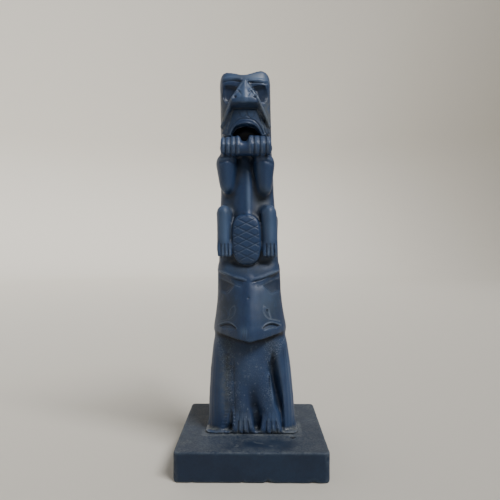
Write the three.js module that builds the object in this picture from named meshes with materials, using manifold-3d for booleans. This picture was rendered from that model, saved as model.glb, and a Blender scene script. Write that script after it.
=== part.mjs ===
// A small model totem pole, carved from one block of dark slate and seated on a square slab.
// A beaver sits on top and holds a stick to its mouth, with its scaly tail turned up between its
// hind legs. Under it is an eagle with a hooked beak, folded wings, and two feet on the slab.
// Millimetres, +Z up, the front faces -Y. The origin is the centre of the slab's underside.

import * as THREE from "three";
import { ConvexGeometry } from "three/addons/geometries/ConvexGeometry.js";
import { mergeVertices } from "three/addons/utils/BufferGeometryUtils.js";
import Module from "manifold-3d";

const wasm = await Module();
wasm.setup();

// Driving dimensions
const POLE_HEIGHT = 231.5;
const BASE_THICKNESS = 17.9;
const BASE_LEDGE = 15.85;
const BASE_CORNER_RADIUS = 3;
const BASE_ARRIS = 0.8;
const SEAT_GAP = 0.3;

// The carving keeps its proportions at any height, so it is laid out on a drawing of this height.
// On the drawing, x runs to the viewer's right, a depth is how far a form stands out in front of
// the pole's middle plane, and a height is taken from the pole's foot.
const DRAWN_HEIGHT = 231.5;
const u = POLE_HEIGHT / DRAWN_HEIGHT;

// The block leans to the viewer's left as it rises, by this share of the height.
const LEAN = 0.0204;

// The low pad round the foot: its size on the drawing, which also sets the slab's side.
const PAD_WIDTH = 59.6;
const PAD_FRONT = 17;
const PAD_BACK = 18;
const PAD_HEIGHT = 1.2;
const PAD_CORNER = 5;

// Facets: points round a section of the block, and the sides and cap rings of round forms. Small
// forms, and those that lie mostly inside others, have fewer.
const SECTION_POINTS = 24;
const BIG = { sides: 12, caps: 3 };
const PLAIN = { sides: 10, caps: 1 };
const SMALL = { sides: 6, caps: 2 };

// A tool's reach past the front of everything
const PAST_FRONT = 40;

// Joining and cutting

// The geometry with only its positions, each shared point kept once. A round form is welded before
// it is turned, while the two edges of its seam still match exactly.
const WELD = 1e-4;
function welded(geometry) {
  const bare = new THREE.BufferGeometry();
  bare.setAttribute("position", geometry.getAttribute("position"));
  if (geometry.index) bare.setIndex(geometry.index);
  return mergeVertices(bare, WELD);
}

function solid(geometry) {
  const { attributes, index } = welded(geometry);
  const mesh = new wasm.Mesh({
    numProp: 3,
    vertProperties: attributes.position.array,
    triVerts: new Uint32Array(index.array),
  });
  return new wasm.Manifold(mesh);
}

const join = (...solids) => solids.flat(Infinity).reduce((a, b) => a.add(b));
const cut = (body, ...tools) => body.subtract(join(...tools));

function geometryOf(body) {
  const mesh = body.getMesh();
  const geometry = new THREE.BufferGeometry();
  geometry.setAttribute("position", new THREE.BufferAttribute(mesh.vertProperties, 3));
  geometry.setIndex(new THREE.BufferAttribute(mesh.triVerts, 1));
  return geometry;
}

// Forms, all in the drawing's units

const at = (x, depth, height) => new THREE.Vector3(x * u, -depth * u, height * u);
const flip = (outline) => outline.map(([x, height]) => [-x, height]);

// A closed skin over rings of points that run the same way round, from the lowest ring up.
function skin(rings) {
  const count = rings[0].length;
  const middle = (ring) => {
    const sum = ring.reduce((total, point) => total.add(point), new THREE.Vector3());
    return sum.divideScalar(count);
  };
  const points = [...rings.flat(), middle(rings[0]), middle(rings.at(-1))];
  const under = rings.length * count;
  const top = under - count;
  const faces = [];
  for (let j = 0; j < count; j++) {
    const k = (j + 1) % count;
    for (let i = 0; i < top; i += count) {
      faces.push(i + j, i + k, i + k + count, i + j, i + k + count, i + j + count);
    }
    faces.push(under, k, j, under + 1, top + j, top + k);
  }
  const geometry = new THREE.BufferGeometry().setFromPoints(points);
  geometry.setIndex(faces);
  return solid(geometry);
}

// One ring of the block: an oval whose front has its own squareness, where 2 is an ellipse and more
// is boxier, and whose back is nearly flat. Its front can dip, and be inset from the true surface.
const BACK_SQUARENESS = 4.5;
function ring([height, half, front, back, square], inset = 0, dip = 0) {
  const points = [];
  for (let i = 0; i < SECTION_POINTS; i++) {
    const angle = (2 * Math.PI * (i + 0.5)) / SECTION_POINTS;
    const [c, s] = [Math.cos(angle), -Math.sin(angle)];
    const power = 2 / (s > 0 ? square : BACK_SQUARENESS);
    const x = Math.sign(c) * Math.abs(c) ** power * (half - inset);
    const depth = s > 0 ? s ** power * (front - inset) : -(Math.abs(s) ** power) * back;
    points.push(at(x, depth, height - dip * Math.max(s, 0) ** 4));
  }
  return points;
}

// How far the front of such a block stands out at a point, between its rows.
function depthAt(rows, x, height) {
  const i = Math.max(1, rows.findIndex(([rowHeight]) => rowHeight >= height));
  const [low, high] = [rows[i - 1], rows[i]];
  const share = (height - low[0]) / (high[0] - low[0]);
  const [, half, front, , square] = low.map((value, k) => THREE.MathUtils.lerp(value, high[k], share));
  return front * Math.max(0, 1 - Math.abs(x / half) ** square) ** (1 / square);
}

// A block from rows of [height, half width, front, back, squareness].
const block = (rows) => skin(rows.map((row) => ring(row)));

// A tapered limb with round ends, between two points.
function limb(from, to, startRadius, endRadius = startRadius, { sides, caps } = BIG) {
  const length = from.distanceTo(to);
  const profile = [];
  for (let i = 0; i <= caps; i++) {
    const angle = (Math.PI / 2) * (i / caps - 1);
    const radius = startRadius * u;
    profile.push(new THREE.Vector2(i ? radius * Math.cos(angle) : 0, radius * Math.sin(angle)));
  }
  for (let i = 0; i <= caps; i++) {
    const angle = (Math.PI / 2) * (i / caps);
    const radius = endRadius * u;
    const x = i < caps ? radius * Math.cos(angle) : 0;
    profile.push(new THREE.Vector2(x, length + radius * Math.sin(angle)));
  }
  const along = to.clone().sub(from).normalize();
  const turn = new THREE.Quaternion().setFromUnitVectors(new THREE.Vector3(0, 1, 0), along);
  const geometry = welded(new THREE.LatheGeometry(profile, sides));
  geometry.applyQuaternion(turn);
  geometry.translate(from.x, from.y, from.z);
  return solid(geometry);
}

// A round bead that follows points, such as a lip or a ridge.
const bead = (points, radius) =>
  join(points.slice(1).map((point, i) => limb(points[i], point, radius, radius, SMALL)));

// An egg form with its own radius along x, depth and height.
function egg(centre, rx, ry, rz, sides = 10) {
  const geometry = welded(new THREE.SphereGeometry(1, sides, Math.round(sides * 0.6)));
  geometry.scale(rx * u, ry * u, rz * u);
  geometry.translate(centre.x, centre.y, centre.z);
  return solid(geometry);
}

// A faceted form over the corners given as [x, depth, height].
const facets = (corners) => solid(new ConvexGeometry(corners.map((corner) => at(...corner))));

// A straight tool with an outline of [x, height], from a depth out past the front.
function frontTool(outline, floor) {
  const shape = new THREE.Shape(outline.map(([x, height]) => new THREE.Vector2(x * u, height * u)));
  const geometry = new THREE.ExtrudeGeometry(shape, {
    depth: (PAST_FRONT - floor) * u,
    bevelEnabled: false,
  });
  geometry.rotateX(Math.PI / 2);
  geometry.translate(0, -floor * u, 0);
  return solid(geometry);
}

// The outline of a straight stroke of the chisel, pointed at both ends.
function stroke([x0, h0], [x1, h1], width) {
  const across = new THREE.Vector2(h1 - h0, x0 - x1).setLength(width / 2);
  const [xm, hm] = [(x0 + x1) / 2, (h0 + h1) / 2];
  return [[x0, h0], [xm - across.x, hm - across.y], [x1, h1], [xm + across.x, hm + across.y]];
}

// Cuts outlines into a form to an even depth, which a copy of the form inset by that depth gives.
const recess = (body, inner, outlines) =>
  cut(body, join(outlines.map((outline) => frontTool(outline, 0))).subtract(inner));

// The beaver

const BEAVER_ROWS = [
  [103, 19.4, 11.5, 15.6, 4],
  [112, 19.6, 12.5, 15.6, 4],
  [126, 19.5, 12.5, 15.5, 3.4],
  [141, 18.4, 11, 15.3, 3],
  [151, 17.8, 8.5, 15.1, 2.6],
  [162, 17.6, 7.5, 15, 2.6],
  [176, 17, 8, 14.8, 3],
  [186, 16.7, 9.5, 14.7, 3],
  [190, 16.8, 13.2, 14.6, 3],
  [198, 16.7, 14.2, 14.5, 3.2],
  [212, 16.6, 14.2, 14.4, 3.6],
  [222, 16.7, 14, 14.2, 3.6],
  [228, 16.5, 11.5, 13.6, 3.2],
  [234, 16.2, 8, 12.4, 3],
];

// The top of the head from the front: two low ears with a shallow saddle between them.
const HEAD_TOP = [
  [17.4, 219], [16.6, 226.5], [14.2, 230.4], [10, 231.5], [4.6, 229.6], [-0.6, 228.2],
  [-6.6, 229.4], [-12, 230.7], [-15.3, 229], [-16.9, 224], [-17.4, 219],
];

function headOutline() {
  const top = new THREE.SplineCurve(HEAD_TOP.map(([x, height]) => new THREE.Vector2(x, height)));
  const arch = top.getPoints(26).map((point) => [point.x, point.y]);
  return [[-24, 219], [-24, 90], [24, 90], [24, 219], ...arch];
}

// A sunk eye: the lid is a step between the brow and the hollow under it.
function eyeSocket(browHeight) {
  const lid = [[2, browHeight - 0.2], [14, browHeight], [14.2, 214], [11.8, 210.6], [7.5, 212]];
  const hollow = [[5, 220.2], [13, 221.4], [14, 214.2], [11.8, 210.8], [8.2, 211.4]];
  return { lid, hollow };
}

function nose() {
  const plate = facets([
    [-1.3, 14.6, 223.8], [0.3, 14.6, 223.8], [-8.4, 19.8, 210.8], [8.4, 19.8, 210.8],
    [-7.4, 20.4, 208.5], [7.4, 20.4, 208.5], [-7.8, 17, 205.9], [7.8, 17, 205.9],
    [-10.5, 9, 206], [10.5, 9, 206], [-2, 9, 224.5], [1, 9, 224.5],
  ]);
  const nostrils = [-6.1, 6.4].map((x) => limb(at(x, 17.5, 212.2), at(x, 22, 212.2), 0.8, 0.8, SMALL));
  const tip = egg(at(0, 16.6, 213), 7.6, 4.6, 6, 8);
  return cut(join(plate, tip), nostrils);
}

function muzzle() {
  const upperJaw = facets([
    [-8.5, 15.5, 206.5], [8.5, 15.5, 206.5], [-14, 12.6, 192], [14.4, 12.6, 192],
    [-7, 16, 196], [7, 16, 196], [-15, 6, 190], [15, 6, 190], [-9, 6, 208], [9, 6, 208],
  ]);
  const teeth = [-3.8, 3.9].map((x) => egg(at(x, 14.4, 202.8), 4.6, 2.8, 4.4, 8));
  const lip = bead(
    [at(-14, 11.6, 190.6), at(-10, 14.2, 195.6), at(-4, 15.6, 198), at(4.4, 15.6, 198),
      at(10.2, 14.2, 195.6), at(14.4, 11.6, 191)],
    1.9,
  );
  const cheeks = [-1, 1].map((side) =>
    bead([at(side * 7.4, 18, 212), at(side * 11.4, 15.2, 203), at(side * 14.8, 12, 195)], 1.8),
  );
  return join(upperJaw, teeth, lip, cheeks);
}

const MOUTH_FLOOR = 3;
const MOUTH = [[-8.2, 183], [-8.2, 190.5], [-5.6, 194.2], [0, 195.6], [5.8, 194.2], [8.6, 190.5],
  [8.6, 183]];

// The stick, and the paws that close over it with four fingers each.
const STICK = { radius: 4.7, depth: 15.2, height: 180.6, reach: 11 };
const PAWS = [
  { inner: -3.4, outer: -16.2, top: [188, 186.8] },
  { inner: 1.4, outer: 16.2, top: [188.5, 187.4] },
];
const FINGERS = 4;

function paw({ inner, outer, top }) {
  const pitch = (outer - inner) / FINGERS;
  const hand = egg(at((inner + outer) / 2, 11.5, 181.4), Math.abs(outer - inner) / 2 + 1.2, 7.4, 6.4);
  const radius = Math.abs(pitch) * 0.58;
  const fingers = [];
  for (let i = 0; i < FINGERS; i++) {
    const x = inner + pitch * (i + 0.5);
    const tip = THREE.MathUtils.lerp(...top, (i + 0.5) / FINGERS) - radius;
    const path = [at(x, 16, tip), at(x, 18.9, 182.2), at(x, 17.6, 178)];
    fingers.push(bead(path, radius));
  }
  return join(hand, fingers);
}

// A bent arm: the forearm hangs from the wrist to the elbow, the upper arm goes back to the shoulder.
const ARMS = [
  { side: -1, wrist: -12.9, elbow: -13, elbowHeight: 157.4 },
  { side: 1, wrist: 11.4, elbow: 11.3, elbowHeight: 155.8 },
];

function arm({ side, wrist, elbow, elbowHeight }) {
  const elbowPoint = at(elbow, 9.6, elbowHeight);
  const forearm = limb(at(wrist, 9.6, 172), elbowPoint, 7.2, 4.9);
  const upperArm = limb(at(side * 11.6, -4, 175), at(side * 12.8, 5, elbowHeight + 2), 6, 4.8, PLAIN);
  return join(forearm, upperArm);
}

const belly = () => limb(at(-1.8, 4.6, 177), at(-1.2, 0.6, 134), 4.6, 13.6, { sides: 20, caps: 3 });

// A hind leg: the thigh is folded along the side, the shin stands up in front, with four toes.
const LEGS = [
  { side: -1, knee: -15.1, ankle: -15.1, girth: 5.1, toes: [-18.5, -16.1, -13.7, -11.5] },
  { side: 1, knee: 13.7, ankle: 14.2, girth: 5.4, toes: [10.4, 12.9, 15.3, 17.6] },
];
const TOE_RADIUS = 1.5;

function hindLeg({ side, knee, ankle, girth, toes }) {
  const shin = limb(at(knee, 12.6, 140.4), at(ankle, 12.8, 117), girth, girth - 0.3);
  const thigh = limb(at(side * 13, -4, 124), at(side * 14.6, 6, 138), 7, 5.6, PLAIN);
  const paws = toes.map((x) => limb(at(x, 14.9, 121), at(x, 16.4, 113.2), TOE_RADIUS, TOE_RADIUS, SMALL));
  return join(shin, thigh, paws);
}

// The tail is a rounded paddle, a little narrower at its foot, hatched inside a plain rim.
const TAIL = {
  middle: -0.9,
  height: 123,
  half: 9.3,
  long: 15.9,
  crown: 17.8,
  shoulder: 15.4,
  floor: 8,
  narrowing: 0.12,
};
const TAIL_POINTS = 20;
const TAIL_SQUARENESS = 3;
const TAIL_RIM = 1.1;
const HATCH = { slope: 0.49, pitch: 5.3, width: 0.9, deep: 0.6, count: 3 };

function tailOutline(inset) {
  const points = [];
  for (let i = 0; i < TAIL_POINTS; i++) {
    const angle = (2 * Math.PI * (i + 0.5)) / TAIL_POINTS;
    const [c, s] = [Math.cos(angle), Math.sin(angle)];
    const power = 2 / TAIL_SQUARENESS;
    const half = (TAIL.half - inset) * (1 + TAIL.narrowing * Math.min(s, 0));
    const rise = Math.sign(s) * Math.abs(s) ** power * (TAIL.long - inset);
    points.push([Math.sign(c) * Math.abs(c) ** power * half, TAIL.height + rise]);
  }
  return points;
}

function paddle(sunk) {
  const ringAt = (inset, depth) => tailOutline(inset).map(([x, height]) => [x, depth, height]);
  const { crown, shoulder, floor } = TAIL;
  return facets([...ringAt(0, floor), ...ringAt(0, shoulder - sunk), ...ringAt(2.6, crown - sunk)]);
}

function tail() {
  const lines = [];
  for (let i = -HATCH.count; i <= HATCH.count; i++) {
    const middle = TAIL.height + i * HATCH.pitch;
    for (const slope of [HATCH.slope, -HATCH.slope]) {
      const rise = slope * TAIL.half;
      lines.push([
        [-TAIL.half, middle - rise - HATCH.width / 2], [TAIL.half, middle + rise - HATCH.width / 2],
        [TAIL.half, middle + rise + HATCH.width / 2], [-TAIL.half, middle - rise + HATCH.width / 2],
      ]);
    }
  }
  const field = frontTool(tailOutline(TAIL_RIM), TAIL.floor);
  const tools = join(lines.map((line) => frontTool(line, TAIL.floor))).intersect(field);
  return cut(paddle(0), tools.subtract(paddle(HATCH.deep))).translate([TAIL.middle * u, 0, 0]);
}

function beaver() {
  const trunk = block(BEAVER_ROWS).intersect(frontTool(headOutline(), -PAST_FRONT));
  const [left, right] = [eyeSocket(225), eyeSocket(223.6)];
  const face = cut(
    trunk,
    frontTool(flip(left.lid), 12.2), frontTool(flip(left.hollow), 10.4),
    frontTool(right.lid, 12.2), frontTool(right.hollow, 10.4),
  );
  const head = cut(
    join(face, muzzle(), nose()),
    frontTool(MOUTH, MOUTH_FLOOR),
    frontTool(stroke([9.8, 203], [13.4, 195], 1.8), 11.5),
  );
  const { radius, depth, height, reach } = STICK;
  const stick = limb(at(-reach, depth, height), at(reach, depth, height), radius, radius, PLAIN);
  return join(head, stick, PAWS.map(paw), ARMS.map(arm), belly(), LEGS.map(hindLeg), tail());
}

// The eagle

const EAGLE_HEAD_ROWS = [
  [62.6, 24.5, 25.6, 15.9, 1.62],
  [67, 24.2, 25.6, 15.9, 1.66],
  [74, 22.8, 23.8, 15.9, 1.74],
  [82, 21.7, 21.2, 15.8, 1.8],
  [90, 21.1, 18.6, 15.8, 2],
  [97, 20.9, 16.8, 15.7, 2.4],
  [104, 20.7, 14.8, 15.6, 3.2],
  [107.6, 20.2, 12.8, 15.4, 3.6],
];
const BEAK_DIP = 1.6;

// A hollow cut with one slanting face: deepest along its upper edge, and running out to nothing
// along its lower edge. Both edges are lists of [x, height] on the front of the head.
function slantingHollow(upper, lower, deep) {
  const on = ([x, height], extra) => [x, depthAt(EAGLE_HEAD_ROWS, x, height) + extra, height];
  const outside = 6;
  return facets([
    ...upper.map((point) => on(point, -deep)), ...upper.map((point) => on(point, outside)),
    ...lower.map((point) => on(point, 0.1)), ...lower.map((point) => on(point, outside)),
  ]);
}

function eagleHead() {
  const inner = (deep) => skin(EAGLE_HEAD_ROWS.map((row, i) => ring(row, deep, i ? 0 : BEAK_DIP)));
  const head = inner(0);
  const hollows = [-1, 1].flatMap((side) => {
    const to = (points) => points.map(([x, height]) => [side * x, height]);
    return [
      slantingHollow(to([[1.6, 96], [11, 98.6]]), to([[3, 91], [11, 92]]), 1.5),
      slantingHollow(to([[11, 98.6], [20.4, 102]]), to([[11, 92], [19.6, 90]]), 2),
      slantingHollow(to([[9.4, 94.4], [19, 97.4]]), to([[13, 88.8], [19, 88.6]]), 2.6),
    ];
  });
  const mouth = [[8.4, 68], [10.6, 70], [14.4, 70.4], [19.8, 68], [15.4, 67.2], [11.4, 67.4]];
  const nostril = [[9.2, 81.6], [11.8, 79.4], [13.8, 72.8], [10.6, 74.6], [8.7, 78.6]];
  const carved = recess(cut(head, hollows), inner(1.1), [mouth, flip(mouth)]);
  return recess(carved, inner(0.5), [nostril, flip(nostril)]);
}

// The wings are the outer sides of this block. The torso stands between them.
const WING_ROWS = [
  [0, 29.2, 16.6, 17.2, 3.4],
  [8, 28.5, 16.2, 16.8, 3.4],
  [20, 28, 16, 16.6, 3.4],
  [38, 26.7, 15.4, 16.4, 3.4],
  [55, 24.6, 14.6, 16.1, 3.4],
  [66, 22.2, 13, 15.9, 3.2],
];
const TORSO_ROWS = [
  [0, 13.6, 11, 4, 6],
  [22, 13.4, 12.6, 4, 5],
  [34, 13.4, 15.8, 4, 3.4],
  [45, 13.8, 16.6, 4, 3],
  [53, 17.4, 16.2, 4, 3],
  [66, 20.6, 14.6, 4, 3],
];
const FEET = [
  { hip: [-6.2, 33], heel: [-5.6, 6], toes: [-10.9, -7.2, -3.5, 0.2] },
  { hip: [6.4, 33], heel: [12.3, 6], toes: [7, 10.6, 14.2, 17.6] },
];

// The block between the wings is taken down to this depth, and the torso stands up from there.
const WING_GAP = { half: 12.4, floor: 6, top: 50 };

// The hollow between a wing and the torso: steep at the torso, sloping out to the wing's edge.
// Each row gives the torso's edge and the wing's edge at mid height, then both at the foot.
const HOLLOWS = [
  { torso: -12, wing: -20.4, torsoFoot: -12, wingFoot: -20.8, floor: 9 },
  { torso: 12, wing: 21.6, torsoFoot: 17.6, wingFoot: 23, floor: 7.5 },
];

function hollow({ torso, wing, torsoFoot, wingFoot, floor }) {
  const side = Math.sign(wing);
  return facets([
    [torsoFoot, floor, -1], [wingFoot, 17.5, -1], [torsoFoot, 20, -1],
    [torso, floor, 40], [wing, 16.5, 40], [torso, 20, 40],
    [side * 13.2, 12.6, 51], [side * 18.4, 15.4, 51], [side * 13.2, 20, 51],
  ]);
}

function leg({ hip, heel }) {
  const shank = limb(at(hip[0], 8, hip[1]), at(heel[0], 9, heel[1]), 7.2, 7);
  const instep = egg(at(heel[0], 8.4, 3), 8.4, 9, 17);
  return join(shank, instep);
}
// The toes fan out from the instep and lie on it as low ridges.
const claws = ({ heel, toes }) =>
  toes.map((x) => {
    const start = THREE.MathUtils.lerp(heel[0], x, 0.62);
    return limb(at(start, 12.8, 15), at(x, 15.8, 2), 1.5, 2.1, SMALL);
  });

// Flutes between the wing feathers, as [x, depth] at the foot and at the shoulder.
const FLUTES = [
  [[25, 17], [22.8, 15]],
  [[29, 9], [25, 7]],
  [[29.2, 2], [25.4, 1.6]],
];

// The pad is a plate with round corners.
function pad() {
  const plate = roundedPlate(PAD_WIDTH, PAD_FRONT + PAD_BACK, PAD_CORNER, PAD_HEIGHT, 0);
  plate.translate(0, (PAD_BACK - PAD_FRONT) / 2, 0);
  plate.scale(u, u, u);
  return solid(plate);
}

function eagleBody() {
  const { half, floor, top } = WING_GAP;
  const gap = frontTool([[-half, -1], [half, -1], [half, top], [-half, top]], floor);
  const flutes = [-1, 1].flatMap((side) =>
    FLUTES.map(([[x0, depth0], [x1, depth1]]) =>
      limb(at(side * x0, depth0, 2), at(side * x1, depth1, 56), 1.1, 0.5, SMALL),
    ),
  );
  const wings = cut(block(WING_ROWS), gap, HOLLOWS.map(hollow), flutes);
  const legSplit = facets([[0.4, 20, -1], [7, 20, -1], [3.8, 9, -1], [-0.5, 20, 34], [-0.3, 14, 30]]);
  const body = cut(join(block(TORSO_ROWS), FEET.map(leg)), legSplit);
  return join(wings, body, FEET.map(claws), pad());
}

// A plate with round corners, its upper and lower arrises eased by the bevel.
function roundedPlate(width, length, corner, thickness, bevel) {
  const [x, y] = [width / 2 - bevel, length / 2 - bevel];
  const radius = corner - bevel;
  const outline = new THREE.Shape();
  outline.absarc(x - radius, y - radius, radius, 0, Math.PI / 2);
  outline.absarc(radius - x, y - radius, radius, Math.PI / 2, Math.PI);
  outline.absarc(radius - x, radius - y, radius, Math.PI, 1.5 * Math.PI);
  outline.absarc(x - radius, radius - y, radius, 1.5 * Math.PI, 2 * Math.PI);
  const geometry = new THREE.ExtrudeGeometry(outline, {
    depth: thickness - 2 * bevel,
    bevelEnabled: bevel > 0,
    bevelThickness: bevel,
    bevelSize: bevel,
    bevelSegments: 1,
    curveSegments: 4,
  });
  geometry.translate(0, 0, bevel);
  return geometry;
}

function carvedPole() {
  const wide = PAD_WIDTH;
  const deep = PAD_FRONT;
  const under = facets([
    [-wide, -wide, 0], [wide, -wide, 0], [-wide, wide, 0], [wide, wide, 0],
    [-wide, -wide, -deep], [wide, -wide, -deep], [-wide, wide, -deep], [wide, wide, -deep],
  ]);
  const upright = cut(join(beaver(), eagleHead(), eagleBody()), under);
  const geometry = geometryOf(upright);
  geometry.applyMatrix4(new THREE.Matrix4().makeShear(0, 0, 0, 0, -LEAN, 0));
  const finish = new THREE.MeshStandardMaterial({ color: 0x2c3b50, roughness: 0.55, metalness: 0 });
  const mesh = new THREE.Mesh(geometry, finish);
  mesh.name = "carved_pole";
  mesh.position.z = BASE_THICKNESS + SEAT_GAP;
  return mesh;
}

function base() {
  const side = PAD_WIDTH * u + 2 * BASE_LEDGE;
  const plate = roundedPlate(side, side, BASE_CORNER_RADIUS, BASE_THICKNESS, BASE_ARRIS);
  const finish = new THREE.MeshStandardMaterial({ color: 0x2a333f, roughness: 0.7, metalness: 0 });
  const mesh = new THREE.Mesh(geometryOf(solid(plate)), finish);
  mesh.name = "base";
  return mesh;
}

const totemPole = new THREE.Group();
totemPole.add(carvedPole(), base());

export default totemPole;
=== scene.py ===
# %% [markdown]
# A model totem pole of dark slate
#
# The object is a quarter of a metre tall, on a slab a hand's breadth wide: a beaver with a stick in
# its paws above an eagle with a hooked beak. The figures are cut from one block, which is glued to
# the slab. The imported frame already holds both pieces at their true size, so this lesson gives each
# one the surface that a carver's knife, a rubbing cloth and some years of dust would leave.

# %% The fixed frame
import math

import bpy
import numpy as np
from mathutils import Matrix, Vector, noise


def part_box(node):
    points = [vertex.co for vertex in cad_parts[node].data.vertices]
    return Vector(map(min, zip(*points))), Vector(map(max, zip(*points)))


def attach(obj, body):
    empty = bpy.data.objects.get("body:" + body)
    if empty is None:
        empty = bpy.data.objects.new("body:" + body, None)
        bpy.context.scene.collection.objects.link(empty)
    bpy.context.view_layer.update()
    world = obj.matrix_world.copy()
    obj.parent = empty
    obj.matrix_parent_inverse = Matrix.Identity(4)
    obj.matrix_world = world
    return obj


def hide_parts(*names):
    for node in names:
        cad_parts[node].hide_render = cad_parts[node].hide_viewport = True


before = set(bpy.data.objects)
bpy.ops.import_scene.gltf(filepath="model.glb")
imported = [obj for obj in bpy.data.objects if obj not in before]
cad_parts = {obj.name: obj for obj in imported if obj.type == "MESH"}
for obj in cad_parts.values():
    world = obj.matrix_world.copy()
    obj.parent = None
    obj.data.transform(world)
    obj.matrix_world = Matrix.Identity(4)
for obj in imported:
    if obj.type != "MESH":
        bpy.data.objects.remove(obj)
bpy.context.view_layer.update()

MM = 0.001

# %% [markdown]
# The camera
#
# The photograph looks straight at the carved front from arm's length, so near things look larger
# and the slab opens out towards the viewer. Its perspective gives the camera's place: a third of a
# metre in front, a little above the middle. A lens as long as the sensor is wide gives its view.

# %% Camera
CAMERA_PLACE = (2.65 * MM, -332.9 * MM, 137.1 * MM)
CAMERA_TURN = math.radians(0.69)
CAMERA_TILT = math.radians(-0.46)
SENSOR_WIDTH = 36

camera = bpy.data.objects.new("camera", bpy.data.cameras.new("camera"))
bpy.context.scene.collection.objects.link(camera)
camera.data.sensor_width = SENSOR_WIDTH
camera.data.lens = SENSOR_WIDTH
camera.location = CAMERA_PLACE
camera.rotation_euler = (math.radians(90) + CAMERA_TILT, 0, CAMERA_TURN)
bpy.context.scene.camera = camera

# %% [markdown]
# Working on a mesh as a carver does
#
# The frame's solid has the right forms, but flat facets. A carver would rub the facets away and cut
# the fine lines again, and the same order works here: an even skin of small faces, a rubbing that
# keeps the volume, then cuts. These helpers select a piece, read and write its points, and rub it.

# %% Helpers for points


def select_only(piece):
    bpy.ops.object.select_all(action="DESELECT")
    piece.select_set(True)
    bpy.context.view_layer.objects.active = piece


def read(piece, what="co"):
    values = np.empty(len(piece.data.vertices) * 3)
    piece.data.vertices.foreach_get(what, values)
    return values.reshape(-1, 3)


def write(piece, points):
    piece.data.vertices.foreach_set("co", points.ravel())
    piece.data.update()


def edges_of(piece):
    pairs = np.empty(len(piece.data.edges) * 2, dtype=np.int32)
    piece.data.edges.foreach_get("vertices", pairs)
    return pairs.reshape(-1, 2)


def average_of_neighbours(points, edges):
    first, second = edges.T
    count = np.bincount(edges.ravel(), minlength=len(points))
    total = np.empty_like(points)
    for axis in range(3):
        total[:, axis] = np.bincount(first, points[second, axis], len(points))
        total[:, axis] += np.bincount(second, points[first, axis], len(points))
    return total / count[:, None]


# %% Helpers for rubbing


def rubbed(points, edges, rounds):
    """Rubs each point for its own number of rounds, as a pad does that goes over the stone."""
    rounds = np.broadcast_to(rounds, len(points))
    for done in range(math.ceil(rounds.max())):
        step = 0.5 * np.clip(rounds - done, 0, 1)[:, None]
        points = points + step * (average_of_neighbours(points, edges) - points)
    return points


def keep_value(piece, name, values):
    """Keeps one number for each point, which a material can read by its name."""
    layer = piece.data.attributes.new(name, "FLOAT", "POINT")
    layer.data.foreach_set("value", values.astype(np.float32))


def bulge(points, edges, normals, rounds):
    """How far each point stands out from the blurred surface round it, in mm."""
    blurred = rubbed(points, edges, rounds)
    return np.einsum("ij,ij->i", points - blurred, normals) / MM


# %% [markdown]
# The carving, first as a rubbed blank
#
# A voxel remesh turns the solid into an even net of small squares, fine enough for lines as thin as
# the photograph shows. The plain forms, such as limbs, belly and back, are then rubbed long, and
# the places with fine cuts only a little, so that a paw keeps its fingers. The plain back then
# gets a coarser net, and the places with the finest cuts get a finer one.

# %% Blank of the carving
SKIN = 0.83 * MM
LEAN = 0.0204

foot_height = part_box("carved_pole")[0][2] / MM

carving = bpy.data.objects.new("totem_carving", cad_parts["carved_pole"].data.copy())
bpy.context.scene.collection.objects.link(carving)
carving.data.materials.clear()
select_only(carving)
bpy.ops.object.mode_set(mode="EDIT")
bpy.ops.mesh.select_all(action="SELECT")
bpy.ops.mesh.remove_doubles(threshold=0.002 * MM)
bpy.ops.object.mode_set(mode="OBJECT")
carving.data.remesh_voxel_size = SKIN
carving.data.use_remesh_preserve_volume = True
bpy.ops.object.voxel_remesh()
print("blank of the carving:", len(carving.data.polygons), "faces")

# %% The carver's drawing
# Sizes on the drawing are in mm: across to the viewer's right of the block's leaning middle line,
# depth out to the front, and height above the foot.


def drawn(points):
    across, behind, up = (points / MM).T
    height = up - foot_height
    return across + LEAN * height, -behind, height


def within(values, low, high, fade):
    """1 between the limits, falling to 0 over the fade outside them."""
    rise = np.clip((values - low) / fade + 1, 0, 1)
    fall = np.clip((high - values) / fade + 1, 0, 1)
    return rise * fall


def past(values, edge, fade):
    """0 up to the edge, rising to 1 over the fade beyond it."""
    return np.clip((values - edge) / fade, 0, 1)


def short_of(values, edge, fade):
    """0 from the edge on, rising to 1 over the fade before it."""
    return np.clip((edge - values) / fade, 0, 1)


# %% Rubbing the blank
# Each place is its lowest and highest height, its half width, how far it must stand out in front,
# and its rounds of rubbing. Everywhere else the stone gets the plain forms' rounds.
PLAIN_ROUNDS = 18
PLACES = [
    ("crown", 225, 240, 40, -40, 4),
    ("beaver's face", 189, 224, 40, 6, 6),
    ("belly", 141, 172, 11, 3, 45),
    ("paws and stick", 175, 189, 40, 8, 8),
    ("tail", 106, 140, 9.4, 12, 4),
    ("hind toes", 108, 124, 40, 9, 7),
    ("ledge of the forehead", 104, 108.5, 40, -40, 6),
    ("eagle's eyes", 89, 104, 40, 5, 12),
    ("inner corners of its eyes", 89, 101, 13, 5, 24),
    ("bridge of the beak", 84, 97, 5, 5, 26),
    ("beak", 70, 86, 40, 5, 60),
    ("rim of the beak", 60, 66, 40, 5, 7),
    ("hollows by the wings", 0, 54, 24, 4, 7),
    ("breast", 18, 58, 11, 10, 45),
    ("feet", -2, 16, 21, 6, 10),
    ("foot", -2, 3, 40, -40, 5),
]
FADE = 3

points = read(carving)
edges = edges_of(carving)
across, depth, height = drawn(points)
rounds = np.full(len(points), float(PLAIN_ROUNDS))
for _, low, high, half, out, wanted in PLACES:
    place = within(height, low, high, FADE) * within(across, -half, half, 1.5)
    place *= past(depth, out, FADE)
    rounds += place * (wanted - rounds)
points = rubbed(points, edges, rounds)
write(carving, points)

# %% A coarser skin on the plain back and sides
PLAIN_DEPTH = 1
PLAIN_SHARE = 0.28


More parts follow.
